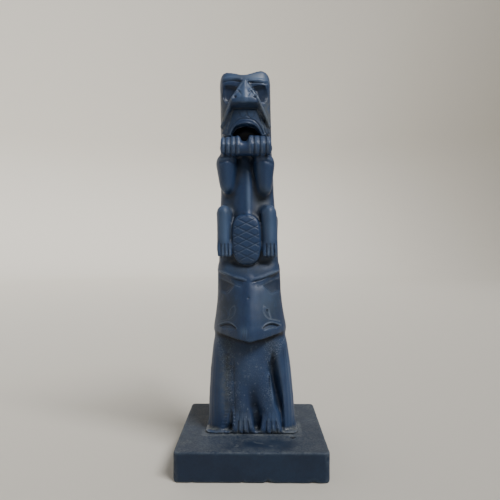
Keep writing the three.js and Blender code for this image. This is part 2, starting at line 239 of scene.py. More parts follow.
def select_points(piece, chosen):
    """Selects the points that a test gave, and leaves the piece in edit mode."""
    bpy.ops.object.mode_set(mode="EDIT")
    bpy.ops.mesh.select_mode(type="VERT")
    bpy.ops.mesh.select_all(action="DESELECT")
    bpy.ops.object.mode_set(mode="OBJECT")
    piece.data.vertices.foreach_set("select", chosen)
    bpy.ops.object.mode_set(mode="EDIT")
    bpy.ops.mesh.select_mode(type="FACE")


select_points(carving, (depth < PLAIN_DEPTH) & (height > 5) & (height < 222))
bpy.ops.mesh.decimate(ratio=PLAIN_SHARE)
bpy.ops.object.mode_set(mode="OBJECT")
points = read(carving)
across, depth, height = drawn(points)
print("coarser back:", len(carving.data.polygons), "faces")

# %% A finer skin where the finest cuts go
FINE_PLACES = [(189, 227, 17, 9), (175, 189.5, 18, 12), (106, 140, 9.6, 13), (109, 122, 20, 12),
               (60, 100, 22, 8), (-1, 16, 20, 12)]

fine = np.zeros(len(points), dtype=bool)
for low, high, half, out in FINE_PLACES:
    fine |= (height > low) & (height < high) & (np.abs(across) < half) & (depth > out)
select_points(carving, fine)
bpy.ops.mesh.subdivide(number_cuts=1)
bpy.ops.object.mode_set(mode="OBJECT")
points = read(carving)
edges = edges_of(carving)
points = rubbed(points, edges, 3)
across, depth, height = drawn(points)
print("finer skin:", len(carving.data.polygons), "faces")

# %% [markdown]
# The carver's cuts
#
# Every line on the front is a V cut by a knife. It is drawn as a few points, a curve is passed
# through them, and each point of the skin near the curve sinks by its distance from it. Crossing
# cuts don't add up, because the deeper one counts. The places are read off the photograph as real
# sizes on the carver's drawing.

# %% Helpers for cuts


def curved(line, steps=5):
    """A smooth curve through the points of a line."""
    given = np.array([line[0], *line, line[-1]], dtype=float)
    share = np.linspace(0, 1, steps, endpoint=False)[:, None]
    spans = []
    for a, b, c, d in zip(given, given[1:], given[2:], given[3:]):
        bend = (2 * a - 5 * b + 4 * c - d) * share**2 + (3 * b - a - 3 * c + d) * share**3
        spans.append(0.5 * (2 * b + (c - a) * share + bend))
    return np.vstack([*spans, given[-1]])


def distance_to(line, across, height):
    nearest = np.full(len(across), np.inf)
    for (x0, h0), (x1, h1) in zip(line, line[1:]):
        run, rise = x1 - x0, h1 - h0
        share = ((across - x0) * run + (height - h0) * rise) / (run**2 + rise**2 + 1e-9)
        share = np.clip(share, 0, 1)
        nearest = np.minimum(nearest, np.hypot(across - x0 - share * run, height - h0 - share * rise))
    return nearest


def mirrored(line):
    return [(-x, h) for x, h in line]


# %% Cuts on the beaver
# Each cut is its line, its width and its depth.
EYELID = [(5, 220.2), (8.6, 221.1), (12.6, 221.2)]
EYE_CORNER = [(13.4, 219.5), (13.9, 214.6), (12, 210.6)]
NOSTRIL_SCROLL = [(6.9, 214.8), (6.2, 216.6), (4.6, 216.8), (3.3, 215.4), (2.3, 213.4)]
TOOTH_RIGHT = [(0.9, 205.2), (1.2, 201.6), (3.2, 200), (5.2, 200.8), (5.8, 203.6)]
TOOTH_LEFT = [(0.6, 202), (-1.2, 200.2), (-3, 200.8), (-3.8, 203.6)]
CHEEK = [(9.8, 203.2), (11.8, 199), (13.6, 194.6)]
FOLD = [(7.6, 205), (8.8, 202), (10.6, 197), (12.4, 191)]
LIP = [(0, 199.6), (5, 198.6), (8.6, 195.4), (11.2, 190)]

cuts = [
    ([(-13.6, 224.4), (-8, 224.8), (-2.4, 224)], 1.4, 0.6),
    ([(2.4, 223.4), (8, 223.3), (13.8, 223.1)], 1.4, 0.6),
    (EYELID, 1.0, 0.5), (mirrored(EYELID), 1.0, 0.4),
    (EYE_CORNER, 1.3, 0.6), (mirrored(EYE_CORNER), 1.3, 0.4),
    (NOSTRIL_SCROLL, 1.1, 0.4), (mirrored(NOSTRIL_SCROLL), 1.1, 0.4),
    (TOOTH_RIGHT, 1.1, 0.2), (TOOTH_LEFT, 1.1, 0.15),
    (CHEEK, 1.5, 0.9), (mirrored(CHEEK), 1.2, 0.5), (FOLD, 1.3, 0.6), (mirrored(FOLD), 1.2, 0.5),
    (LIP, 1.1, 0.45), (mirrored(LIP), 1.1, 0.45),
    ([(-7.2, 205.6), (0, 206), (7.2, 205.6)], 1.6, 0.8),
    ([(-7.4, 208), (0, 207.4), (7.4, 208)], 1.4, 0.5),
    ([(6.4, 172), (11, 172.8), (16.4, 171.6)], 1.4, 0.45),
    ([(-17, 171.6), (-12, 172.8), (-8, 172)], 1.4, 0.45),
]

# %% Fingers and toes
FINGERS = 4
PAWS = [(-3.4, -16.2), (1.4, 16.2)]
HIND_TOES = [(-17.3, -14.9, -12.6), (11.6, 14.1, 16.5)]
EAGLE_TOES = [(-9, -5.4, -1.7), (8.8, 12.4, 16)]
EAGLE_HEELS = (-5.6, 12.3)

gaps = [[(inner + (outer - inner) * i / FINGERS, h) for h in (176, 182, 188.5)]
        for inner, outer in PAWS for i in range(1, FINGERS)]
gaps += [[(x, 111.5), (x, 116), (x, 120)] for x in HIND_TOES[0] + HIND_TOES[1]]
cuts += [(line, 1.25, 0.75) for line in gaps]
for middle, toes in zip(EAGLE_HEELS, EAGLE_TOES):
    for x in toes:
        start = middle + 0.62 * (x - middle)
        gaps.append([(x, -1), ((x + start) / 2, 7.5)])
        cuts.append((gaps[-1], 1.1, 0.6))
        cuts.append(([((x + start) / 2, 7.5), (start, 13)], 0.9, 0.25))

# %% Cuts on the eagle
BROW = [(2, 95.9), (8, 97.3), (14, 99.6), (20.4, 102)]
EYE_LINE = [(5.6, 93.2), (9.4, 94.3), (14, 96.2), (19.6, 98.2)]
EYE = [(9.4, 94), (12, 91), (14.6, 88.8), (19.6, 90)]
NOSTRIL = [(9.2, 81.5), (8.7, 78.7), (10.6, 74.7), (13.7, 72.8), (12.9, 75.6), (11.8, 79.5),
           (9.2, 81.5)]
NOSTRIL_TAIL = [(13.7, 72.8), (16.4, 71.8), (19.4, 70.6)]
UPPER_LIP = [(8, 67.6), (10.5, 70), (14.4, 70.6), (19.9, 68.2)]
MOUTH = [(8.8, 67.8), (11, 69), (14.4, 69.2), (18.4, 67.8)]
LOWER_LIP = [(9.4, 66.6), (13, 67.6), (17, 67)]
BEAK_TIP = [[(x, 61.4), (x * 0.9, 67)] for x in (-4.6, -3, -1.4)]

for line, width, deep in [
    (BROW, 1.1, 0.5), (EYE_LINE, 0.9, 0.45), (EYE, 1.3, 0.7), (NOSTRIL, 0.8, 0.4),
    (NOSTRIL_TAIL, 0.8, 0.35), (MOUTH, 1.7, 1.2), (LOWER_LIP, 1.0, 0.5),
]:
    cuts.append((line, width, deep))
    cuts.append((mirrored(line), width, deep * 0.6))
cuts += [(line, 0.9, 0.4) for line in BEAK_TIP]

# %% Feather flutes on the wings
# Each flute is its place across at the foot and at the wing's shoulder.
FLUTES = [(22.6, 21.2), (24.6, 22.4), (26.6, 23.6)]

for at_foot, at_shoulder in FLUTES:
    line = [(at_foot, 1), (at_foot, 20), (at_shoulder, 52)]
    cuts.append((line, 1.2, 0.3))
    cuts.append((mirrored(line), 1.4, 0.15))

# %% [markdown]
# Forms pared true
#
# The solid gives every form its place. Here the forms that the photograph shows most plainly are
# brought to its line, before any cut is sunk into them. Most are a depth that the points of one
# place move toward, and the last few are edges that move up or down. Each place fades out at its
# ends, so that no step is left.

# %% Muzzle and mouth
# The muzzle is one smooth swell between the cheeks and round the mouth. Stone that the solid lacks
# is filled in, the two teeth are pared to its plane, and the top of the mouth is pushed back to
# square its corners.
FIRM = 0.9
MUZZLE = {"low": 188, "high": 206.5, "half": 7.2, "half_at": 210, "depth": 16.2, "fall": 0.017}
MUZZLE_SPREAD = 0.44
OPENING = {"half": 8.6, "square_half": 8.7, "tall": 8.2, "depth": 11.5}


def blend_depth(points, aim, share):
    """Moves points toward a depth, in mm out to the front, by a share of the way."""
    points[:, 1] += share * (-aim * MM - points[:, 1])


across, depth, height = drawn(points)
up_mouth = np.clip(height - MUZZLE["low"], 0, None) / OPENING["tall"]
oval = (np.abs(across) / OPENING["half"]) ** 2 + up_mouth**2
square = (np.abs(across) / OPENING["square_half"]) ** 3 + up_mouth**3
muzzle_half = MUZZLE["half"] + MUZZLE_SPREAD * (MUZZLE["half_at"] - height)
swell = within(height, MUZZLE["low"], MUZZLE["high"], 1) * short_of(np.abs(across), muzzle_half, 1.2)
swell *= past(oval, 1.08, 0.25) * past(depth, 7, 3)
blend_depth(points, MUZZLE["depth"] - MUZZLE["fall"] * across**2, FIRM * swell)
pushed = short_of(square, 1, 0.25) * past(height, 191, 1.5) * past(depth, 11, 1.5)
blend_depth(points, OPENING["depth"], FIRM * pushed)

# %% Nose
# The nose is a wedge that comes forward as it widens downwards, and swells a little in its middle.
NOSE = {"low": 209, "top": 224.2, "spread": 0.6, "half": 8.4, "root": 14.4, "slope": 0.43,
        "tip": 5.4, "swell": 1.1}

below_top = NOSE["top"] - height
nose_half = np.clip(below_top * NOSE["spread"], 0.8, NOSE["half"])
nose_share = short_of(np.abs(across) / nose_half, 1, 0.2) * past(depth, 11, 2)
nose_share *= within(height, NOSE["low"], NOSE["top"] - 0.6, 0.8)
aim = NOSE["root"] + np.minimum(below_top * NOSE["slope"], NOSE["tip"])
aim += NOSE["swell"] * (1 - (across / nose_half) ** 2)
blend_depth(points, aim, FIRM * nose_share)

# %% Tail
# The tail is a crowned paddle, with a plain rim round the field that is hatched later.
TAIL_CENTRE = -0.9
TAIL_MIDDLE = 123
TAIL_HALF = 9.3
TAIL_LONG = 15.9
TAIL_RIM = 1
TAIL_RIM_DEPTH = 15.2
TAIL_CROWN = 2.7


def paddle(margin):
    """0 at the middle of the tail and 1 along its edge, less a margin in mm."""
    sides = np.abs(from_tail) / (TAIL_HALF - margin)
    ends = np.abs(height - TAIL_MIDDLE) / (TAIL_LONG - margin)
    return sides**3 + ends**3


from_tail = across - TAIL_CENTRE
tail_field = short_of(paddle(TAIL_RIM), 1, 0.12) * (depth > 14)
aim = TAIL_RIM_DEPTH + TAIL_CROWN * np.sqrt(np.clip(1 - paddle(0), 0, 1))
blend_depth(points, aim, short_of(paddle(0), 0.97, 0.1) * (depth > 12.5))

# %% Slope from the left wing to the breast
# At each height the slope runs from the wing's edge to the breast, a little hollowed. It is filled
# to that line where the solid lies behind it.
SLOPE_EDGES = (-19.5, -11)
SLOPE_HOLLOW = 0.8
SLOPE_FILL = 2.5
ROW_TALL = 2
BEHIND_ALL = -99.0

rows = np.clip(height / ROW_TALL, 0, None).astype(int)
wing_and_breast = []
for edge in SLOPE_EDGES:
    near = (np.abs(across - edge) < 0.7) & (depth > 3) & (height > 0) & (height < 60)
    foremost = np.full(rows.max() + 1, BEHIND_ALL)
    np.maximum.at(foremost, rows[near], depth[near])
    wing_and_breast.append(foremost[rows])
at_wing, at_breast = wing_and_breast
share = np.abs(across - SLOPE_EDGES[0]) / (SLOPE_EDGES[1] - SLOPE_EDGES[0])
aim = at_wing + (at_breast - at_wing) * share
aim -= SLOPE_HOLLOW * np.sin(np.pi * np.clip(share, 0, 1))
on_slope = within(across, *SLOPE_EDGES, 0.4) * within(height, 6, 50, 5) * (depth > 3)
filled = np.clip(aim - depth, 0, SLOPE_FILL) * on_slope
points[:, 1] -= filled * MM
print("left slope filled by up to", round(float(filled.max()), 2), "mm")

# %% Edges drawn out past the solid
# The crown of the head and the tops of the paws are lifted, and the tip of the beak is brought down.
CROWN_LIFT = 0.8
PAW_LIFT = 1.4
PAWS_APART = (-2.6, 0.8)
BEAK_DROP = 1.7
BEAK_HALF = 17

crown = past(height, 222, 7) * past(depth, -6, 8)
paw_top = past(height, 181, 5) * short_of(height, 191.4, 2.8) * past(depth, 8, 2)
paw_top *= 1 - 0.8 * within(across, *PAWS_APART, 1)
beak_rim = past(height, 57.4, 2.8) * short_of(height, 73, 11) * past(depth, 9, 4)
beak_rim *= np.clip(1 - np.abs(across + 0.4) / BEAK_HALF, 0, 1)
points[:, 2] += MM * (CROWN_LIFT * crown + PAW_LIFT * paw_top - BEAK_DROP * beak_rim)
write(carving, points)
across, depth, height = drawn(points)

# %% Ridges left standing
# A ridge is what the carver leaves between two slopes. Each is its line, its width and its height.
SNOUT_EDGE = [(0.6, 223.4), (4.8, 217), (8.8, 210), (12, 202.8), (15.4, 195)]
BROW_RIDGE = [(1.6, 97.4), (8, 98.9), (14, 101.2), (20.6, 103.4)]
CUFF = [(6, 174.2), (11, 174.8), (16.6, 173.6)]
SHIN = [(14.4, 141), (14.4, 130), (14.6, 119)]
NOSTRIL_FOLD = [(7.6, 214.4), (6.8, 217.4), (4.4, 218), (2.6, 216.4)]

ridges = [
    ([(0.1, 97), (0.1, 84), (0.1, 70), (0.1, 61.6)], 9, 0.6),
    ([(0.8, 166), (0.9, 154), (0.5, 140)], 5.5, 0.6),
    ([(-0.6, 208.8), (-0.6, 214), (-0.6, 222)], 5, 0.4),
    ([(-14.4, 226.4), (-8, 226.8), (-2.6, 225.8)], 2.4, 0.3),
    ([(3, 225.2), (9, 225.4), (14.6, 225)], 2.4, 0.3),
]
for line, width, high in [
    (SNOUT_EDGE, 2.2, 0.65), (BROW_RIDGE, 2.6, 0.5), (CUFF, 2.6, 0.45),
    (SHIN, 4.4, 0.35), (NOSTRIL_FOLD, 2, 0.45), (UPPER_LIP, 1.4, 0.35),
]:
    ridges.append((line, width, high))
    ridges.append((mirrored(line), width, high))

# %% Floor of the eagle's eyes
EYE_DEEP = 0.55

under_line = np.interp(np.abs(across), *np.transpose(EYE_LINE)) - height
over_edge = height - np.interp(np.abs(across), *np.transpose(EYE))
eye_floor = past(under_line, 0, 0.8) * past(over_edge, 0, 0.8)
eye_floor *= within(np.abs(across), 10, 20, 0.8)

# %% Hatching of the tail
# Two sets of lines cross at the same slope, and the lower edge of each catches the light.
HATCH_SLOPE = 0.49
HATCH_PITCH = 5.3
HATCH_ROWS = 3
HATCH_DEEP = 0.22

hatched = np.zeros(len(points))
hatch_edge = np.zeros(len(points))
for row in range(-HATCH_ROWS, HATCH_ROWS + 1):
    for slope in (HATCH_SLOPE, -HATCH_SLOPE):
        above = height - TAIL_MIDDLE - row * HATCH_PITCH - slope * from_tail
        above *= math.cos(math.atan(HATCH_SLOPE))
        hatched = np.maximum(hatched, tail_field * np.clip(1 - np.abs(above) / 0.5, 0, 1))
        hatch_edge = np.maximum(hatch_edge, tail_field * np.clip(1 - np.abs(above + 0.6) / 0.4, 0, 1))

# %% Sinking the cuts and raising the ridges
raised = np.zeros(len(points))
for line, width, high in ridges:
    away = distance_to(curved(line), across, height) / (width / 2)
    raised = np.maximum(raised, high * np.clip(1 - away**2, 0, 1) ** 1.5)
sink = np.zeros(len(points))
for line, width, deep in cuts:
    away = distance_to(curved(line), across, height)
    sink = np.maximum(sink, deep * np.clip(1 - away / (width / 2), 0, 1))
sink = np.maximum(sink, EYE_DEEP * eye_floor)
sink = np.maximum(sink, HATCH_DEEP * hatched)
print(len(cuts), "cuts, deepest", round(float(sink.max()), 2), "mm")

# %% [markdown]
# Chips and an uneven skin
#
# The eagle's breast and legs are dotted with small chips, like down, that catch the light. The
# beaver's nostrils are round pits, and the eagle's beak has one more. The whole skin is a little
# uneven, because it was rubbed by hand and not ground flat. The chips come from one seeded draw, so
# they are the same on every run.

# %% Chips and pits
# Each pit is its place across and up, its radius and its depth.
CHIPS = 70
CHIP_DEEP = 0.22
CHIP_DRAW = 7
PITS = [(-6.1, 212.2, 1.0, 0.9), (6.4, 212.2, 1.0, 0.9), (-0.3, 86.1, 0.8, 0.5)]

draw = np.random.default_rng(CHIP_DRAW)
chipped = np.zeros(len(points))
for _ in range(CHIPS):
    x = draw.uniform(-14, 15)
    h = draw.uniform(10, 60)
    radius = draw.uniform(0.35, 0.6)
    away = np.hypot(across - x, (height - h) * 0.8) / radius
    chipped = np.maximum(chipped, np.clip(1 - away**2, 0, 1) * radius * CHIP_DEEP)
for x, h, radius, deep in PITS:
    away = np.hypot(across - x, height - h) / radius
    sink = np.maximum(sink, deep * np.clip(1 - away**2, 0, 1))
chipped *= within(depth, 10, 60, 2)

# %% An uneven skin and a ragged foot
# Cuts, chips and ridges go in along the skin's own direction, and only where it faces the front.
# The foot is then brought down to the slab, where the glue fills the joint.
UNEVEN_SIZE = 5
UNEVEN_DEEP = 0.09
RAGGED_SIZE = 1.6
RAGGED_DEEP = 0.45
FOOT_TALL = 3
GLUE = 0.28


def uneven(places, size_mm):
    """Smooth bumps and dips at each place, about as wide as the size."""
    return np.array([noise.noise(Vector(place) / (size_mm * MM)) for place in places])


normals = read(carving, "normal")
facing = past(-normals[:, 1], 0, 0.35)
moved = (sink + chipped - raised) * facing + UNEVEN_DEEP * uneven(points, UNEVEN_SIZE)
foot = height < FOOT_TALL
moved[foot] += RAGGED_DEEP * uneven(points[foot], RAGGED_SIZE) * short_of(height[foot], 2, 1)
points = points - normals * (moved * MM)[:, None]
points[height < 0.35, 2] -= GLUE * MM
write(carving, points)

# %% [markdown]
# What the stone keeps from its wear, and its painted light and shade
#
# Arrises are rubbed pale, hollows hold dust, handled places take a paler satin, and dull places
# have had less handling. Deep places, undersides and fine cuts get painted shade, and lit ridges
# and the lit right side get painted highlights. Each kind of wear, shade and highlight is one number
# for every point of the skin, kept under a name that the material reads. Some follow from the form,
# such as how far a point stands out from the stone round it. The others are places and lines read
# off the photograph.

# %% Helpers for wear


def patches(places):
    """The strongest of the soft ovals at each point of the skin.

    Each place is across, height, half width, half height and strength.
    """
    strongest = np.zeros(len(points))
    for x, h, half, tall, much in places:
        away = ((across - x) / half) ** 2 + ((height - h) / tall) ** 2
        strongest = np.maximum(strongest, much * np.exp(-away))
    return strongest


def inside(place):
    """1 inside a place on the front, which is its heights and its sides, each with a fade."""
    heights, sides = place
    return within(height, *heights) * within(across, *sides)


# %% Form of the finished skin
# A narrow blur finds the arrises and the fine hollows, and a wide one the crests and deep places.
NARROW = 10
WIDE = 70

normals = read(carving, "normal")
out = bulge(points, edges, normals, NARROW)
wide_out = bulge(points, edges, normals, WIDE)
across, depth, height = drawn(points)

# %% Dull, handled and dusty places, and painted highlights
DULL_PLACES = [
    (-14, 80, 9, 16, 0.7), (13, 82, 8, 14, 0.8), (0, 104, 16, 4, 0.6), (-13, 56, 6, 8, 0.6),
    (14, 55, 5, 8, 0.6), (-11, 143, 4, 7, 0.6), (10, 146, 5, 5, 0.55), (14, 109, 6, 4, 0.5),
    (9, 149, 6, 6, 0.8), (-15.6, 30, 3, 30, 0.7), (-13, 108, 7, 4, 0.4), (-4, 168, 3, 7, 0.35),
    (0, 228, 14, 4, 0.15), (-16, 40, 4, 24, 0.45), (12, 198, 5, 9, 0.35), (-12, 198, 5, 9, 0.3),
    (15, 50, 3, 10, 0.6), (-6, 10, 7, 10, 0.3),
]
# Handled places take a paler satin. The belly's ridge, the right of the beak and the outer edge of the
# right wing get a painted highlight.
HANDLED_AND_HIGHLIT_PLACES = [
    (0, 214, 5.5, 9, 0.8), (8, 227, 9, 3.4, 1.3), (-9, 227.5, 6, 2.4, 0.9),
    (-15.1, 129, 3.4, 14, 0.8), (14.2, 129, 3.4, 14, 0.75), (-10, 182, 7, 5, 0.4),
    (9, 182, 7, 5, 0.45), (13.5, 202, 2.6, 9, 0.5), (0.9, 151, 1.3, 10, 0.8), (0, 203, 8, 4, 0.6),
    (11, 86, 7, 9, 0.5), (0, 44, 8, 14, 0.3), (25, 30, 2.5, 26, 0.45), (14, 12, 5, 9, 0.3),
    (-7, 10, 5, 9, 0.25), (5, 87, 3, 6, 0.5), (-3.4, 65.6, 2.4, 3, 0.8), (15, 94, 4, 3, 0.2),
]
DUSTY_PLACES = [
    (-16.4, 32, 3.2, 22, 0.6), (14, 203, 2.6, 10, 1.2), (-13.8, 201, 3, 10, 0.9),
    (-6, 8, 8, 8, 0.2), (-15, 108, 6, 3, 0.2), (4, 228.5, 12, 3, 0.4), (10.2, 204.5, 2.4, 5, 0.5),
    (-3, 219, 4, 3, 0.12),
]
FOOT_DUST = 1.3
TOE_DEPTH = 14.5

on_toes = facing * (depth > TOE_DEPTH) > 0.4
foot_dust = FOOT_DUST * within(height, -2, 1.2, 2.4) * np.where(on_toes, 0.75, 1)
keep_value(carving, "dull", patches(DULL_PLACES))
keep_value(carving, "handled_and_highlit", patches(HANDLED_AND_HIGHLIT_PLACES))
keep_value(carving, "settled", np.maximum(foot_dust, patches(DUSTY_PLACES)))

# %% Chalky lines and painted highlights
# Each line of the face has a strength on the viewer's right and one on the left: pale chalk along
# the line, with a painted highlight that makes it stronger on the lit right. The edges of the fingers
# and toes get a painted highlight more evenly.
CHALK_AND_HIGHLIGHT_LINES = [
    (NOSTRIL, 1, 0.3), (NOSTRIL_TAIL, 1, 0.2), (UPPER_LIP, 1, 0.25), (LOWER_LIP, 0.8, 0),
    (EYE_LINE, 0.9, 0.5), (NOSTRIL_SCROLL, 0.35, 0.45), (SNOUT_EDGE, 2, 1),
    (FOLD, 1.2, 0.8), (CHEEK, 0.6, 0.3), (BROW_RIDGE, 0.7, 0.7),
]
PALE_LINE_WIDTH = 0.7
HIGHLIT_RIDGES = [[(inner + (outer - inner) * (i + 0.35) / FINGERS, h) for h in (177.5, 187.5)]
           for inner, outer in PAWS for i in range(FINGERS)]
HIGHLIT_RIDGES += [[(x + 1.2, h) for h in (112.6, 119)] for x in HIND_TOES[0] + HIND_TOES[1]]
HIGHLIT_RIDGES += [[(x + 1.6, 1), (middle + 0.7 * (x + 1.6 - middle), 9)]
            for middle, toes in zip(EAGLE_HEELS, EAGLE_TOES) for x in toes]
RIDGE_HIGHLIGHT = 0.75
HATCH_HIGHLIGHT = 0.6

# The lower edges of the tail's hatching get a painted highlight.
lined = HATCH_HIGHLIGHT * hatch_edge
for line, right, left in CHALK_AND_HIGHLIGHT_LINES:
    away = distance_to(curved(line), np.abs(across), height) / PALE_LINE_WIDTH
    lined = np.maximum(lined, np.where(across > 0, right, left) * np.clip(1 - away, 0, 1))
for line in HIGHLIT_RIDGES:
    away = distance_to(line, across, height) / PALE_LINE_WIDTH
    lined = np.maximum(lined, RIDGE_HIGHLIGHT * np.clip(1 - away, 0, 1))
keep_value(carving, "lined", lined * facing)

# %% Speckled breast and legs
SPECKLES = [
    (-12.6, 44, 3, 22, 0.9), (11.5, 50, 3.4, 12, 1), (-9, 22, 4, 14, 0.6),
    (9, 26, 4, 16, 0.55), (0, 42, 10, 16, 0.4), (14, 56, 5, 6, 0.9), (-15, 58, 4, 5, 0.7),
]
SPECKLED_EDGES = [[(-20, 58), (-16.5, 44), (-13.4, 20)], [(21, 58), (15.5, 48), (12, 36), (12, 22)]]
EDGE_SPECKLE = 1.4
EDGE_REACH = 2.2

speckled = patches(SPECKLES)
for line in SPECKLED_EDGES:
    away = distance_to(curved(line), across, height) / EDGE_REACH
    speckled = np.maximum(speckled, EDGE_SPECKLE * np.exp(-(away**2)))
keep_value(carving, "speckled", speckled * past(-normals[:, 1], 0, 0.4))
keep_value(carving, "chipped", np.clip(chipped / 0.14, 0, 1) * facing)

# %% Painted shade in dark hollows
# Painted shade: the beaver's mouth, its eye sockets and the underside of its nose, the band under the
# eagle's beak, its mouth line and eye floors, the groove by the right wing and the tail's hatching
# are painted dark. Each is the part of its place that lies far enough behind the front.
MOUTH_HOLLOW = ((183, 195.5, 1.5), (-8.6, 8.8, 1.5))
WING_GROOVE = ((2, 52, 3), (12.5, 21, 2))
NOSE_UNDERSIDE = ((205.4, 208, 0.8), (-8.6, 8.6, 1))
RIM_MIDDLE = 59.8
RIM_RISE = 0.2
RIM_ENDS = (-21, 21, 2)

below_beak = RIM_MIDDLE + RIM_RISE * np.abs(across) - height
beak_under = past(below_beak, 0, 0.6) * short_of(below_beak, 4.8, 2.6)
socket = within(height, 211, 221, 2) * within(np.abs(across), 7, 14.5, 2)
mouth_away = distance_to(curved(MOUTH), np.abs(across), height) / 0.9
painted_shade = np.maximum.reduce([
    inside(MOUTH_HOLLOW) * short_of(depth, 13.4, 3) * (depth > 1),
    beak_under * within(across, *RIM_ENDS) * (depth > 4),
    0.75 * inside(WING_GROOVE) * short_of(depth, 12.5, 3) * (depth > 4),
    0.3 * socket * short_of(depth, 12.8, 1.5) * (depth > 8),
    0.45 * inside(NOSE_UNDERSIDE) * (depth > 8),
    0.8 * (1 - np.minimum(mouth_away, 1)) * facing,
    0.5 * hatched,
    np.where(across > 0, 0.5, 0.3) * eye_floor * facing,
])
# Painted shade along the gaps of the fingers and toes and round the teeth.
for line in gaps + [TOOTH_RIGHT, TOOTH_LEFT]:
    painted_shade = np.maximum(painted_shade, 0.45 * np.clip(1 - distance_to(line, across, height) / 0.7, 0, 1) * facing)
keep_value(carving, "painted_shade", painted_shade)

# %% Arrises, crests, dusty hollows and painted shade in deep places
# The faces of the nose and the tail are smooth, so their small swells hardly count as arrises. The
# side of the eagle's head on the viewer's left holds little dust.
NOSE_FACE = ((206, 222, 2), (-8, 8, 2))
TAIL_FACE = ((107, 139, 2), (-10, 9, 1))
LEFT_OF_HEAD = ((86, 104, 2), (-30, -8, 2))

smooth_places = np.maximum(inside(NOSE_FACE), inside(TAIL_FACE))
hollow = past(-out, 0.06, 0.35) * (1 - painted_shade) * (1 - 0.8 * inside(LEFT_OF_HEAD))
keep_value(carving, "worn", 0.7 * past(out, 0.08, 0.4) * (1 - 0.75 * smooth_places))
keep_value(carving, "hollow", hollow)
# Painted shade: the deep places that the wide blur finds are darkened in the colour.
keep_value(carving, "deep", past(-wide_out, 0.05, 0.5) * (1 - painted_shade))
keep_value(carving, "crest", past(wide_out, 0.15, 1) * past(depth, 6, 4))
carving.data.shade_smooth()
print("carving:", sum(len(face.vertices) - 2 for face in carving.data.polygons), "triangles")

# %% [markdown]
# The slab
#
# The slab is a sawn square of the same stone with its arrises eased. It starts as a cube at the
# frame's size. Its upright corners are rounded with a bevel, then its rims, and a fine skin gives
# the points that the chips along the lower edge need.

# %% Slab with eased arrises
UPRIGHT_ROUND = 3 * MM
RIM_ROUND = 0.8 * MM
SLAB_SKIN = 0.85 * MM

slab_low, slab_high = (np.array(corner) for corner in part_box("base"))
slab_size = slab_high - slab_low

bpy.ops.object.select_all(action="DESELECT")
bpy.ops.mesh.primitive_cube_add(size=1, location=(slab_low + slab_high) / 2, scale=slab_size)
slab = bpy.context.object
slab.name = "base_slab"
bpy.ops.object.transform_apply(location=True, rotation=True, scale=True)


def select_edges(piece, wanted):
    """Selects the edges whose two ends pass a test, in edit mode, by their place."""
    bpy.ops.object.mode_set(mode="EDIT")
    bpy.ops.mesh.select_mode(type="EDGE")
    bpy.ops.mesh.select_all(action="DESELECT")
    bpy.ops.object.mode_set(mode="OBJECT")
    for edge in piece.data.edges:
        ends = [piece.data.vertices[i].co for i in edge.vertices]
        edge.select = bool(wanted(*ends))
    bpy.ops.object.mode_set(mode="EDIT")


select_edges(slab, lambda a, b: abs(a.z - b.z) > slab_size[2] / 2)
bpy.ops.mesh.bevel(offset=UPRIGHT_ROUND, segments=6, affect="EDGES")
bpy.ops.object.mode_set(mode="OBJECT")
select_edges(slab, lambda a, b: abs(a.z - b.z) < 1e-6)
bpy.ops.mesh.bevel(offset=RIM_ROUND, segments=3, affect="EDGES")
bpy.ops.object.mode_set(mode="OBJECT")
slab.data.remesh_voxel_size = SLAB_SKIN
bpy.ops.object.voxel_remesh()
print("slab:", len(slab.data.polygons), "faces")

# %% Chips, a slit and scratches in the slab
# Each chip is its place across and up the front face, its radius and its depth. The slit is its
# place on the top, its half width, its half depth and how deep it goes.
EDGE_CHIPS = [(9.6, 0, 2.2, 1.1), (12, 0.2, 1.2, 0.8), (-5, 0, 1.6, 0.6), (-34, 0, 1.5, 0.5),
              (36, 0, 2.4, 0.5), (44.6, 14, 1.6, 0.6), (-45.2, 4, 1.8, 0.6), (-21, 17.9, 1.2, 0.35),
              (6, 17.9, 1.4, 0.4), (-1, 17.9, 1.0, 0.35), (27, 17.9, 1.1, 0.3)]
SLIT = (25.7, -21.5, 2, 2, 1.6)
SCRATCHES = [[(1.6, -29.4), (3.4, -31), (6.6, -31.6)], [(-9, -34), (-8.2, -35.8), (-9.6, -37)],
             [(11, -35), (12.4, -35.8)]]
SCRATCH_DEEP = 0.15
SAW_WAVE = 0.08
SAW_WAVE_SIZE = 6

slab_points = rubbed(read(slab), edges_of(slab), 4)
x, y, z = (slab_points / MM).T
front = slab_low[1] / MM
slab_normals = read(slab, "normal")
sunk = np.zeros(len(slab_points))
for at_x, at_z, radius, deep in EDGE_CHIPS:
    away = np.sqrt((x - at_x) ** 2 + (y - front) ** 2 + ((z - at_z) * 0.9) ** 2) / radius
    sunk = np.maximum(sunk, deep * np.clip(1 - away**2, 0, 1))
on_top = past(slab_normals[:, 2], 0.7, 0.2)
slit_x, slit_y, slit_half, slit_wide, slit_deep = SLIT
slit = np.clip(1 - ((x - slit_x) / slit_half) ** 2 - ((y - slit_y) / slit_wide) ** 2, 0, 1)
sunk = np.maximum(sunk, slit_deep * np.sqrt(slit) * on_top)
scratched = np.zeros(len(slab_points))
for line in SCRATCHES:
    away = distance_to(curved(line), x, y)
    scratched = np.maximum(scratched, np.clip(1 - away / 0.7, 0, 1) * on_top)
sunk += SCRATCH_DEEP * scratched + SAW_WAVE * (1 + uneven(slab_points, SAW_WAVE_SIZE))
slab_points -= slab_normals * (sunk * MM)[:, None]
write(slab, slab_points)

# %% Dust and glue on the slab's top
# Dust lies all over the top except where it has been rubbed off in front of the feet, and a pale
# line of glue and dust follows the foot of the carving.
FOOT_HALF = 29.8
FOOT_FRONT = -18
FOOT_BACK = 18
RUB_MARK = (6.5, -33, 19, 6.5)
DRIFT_SIZE = 9

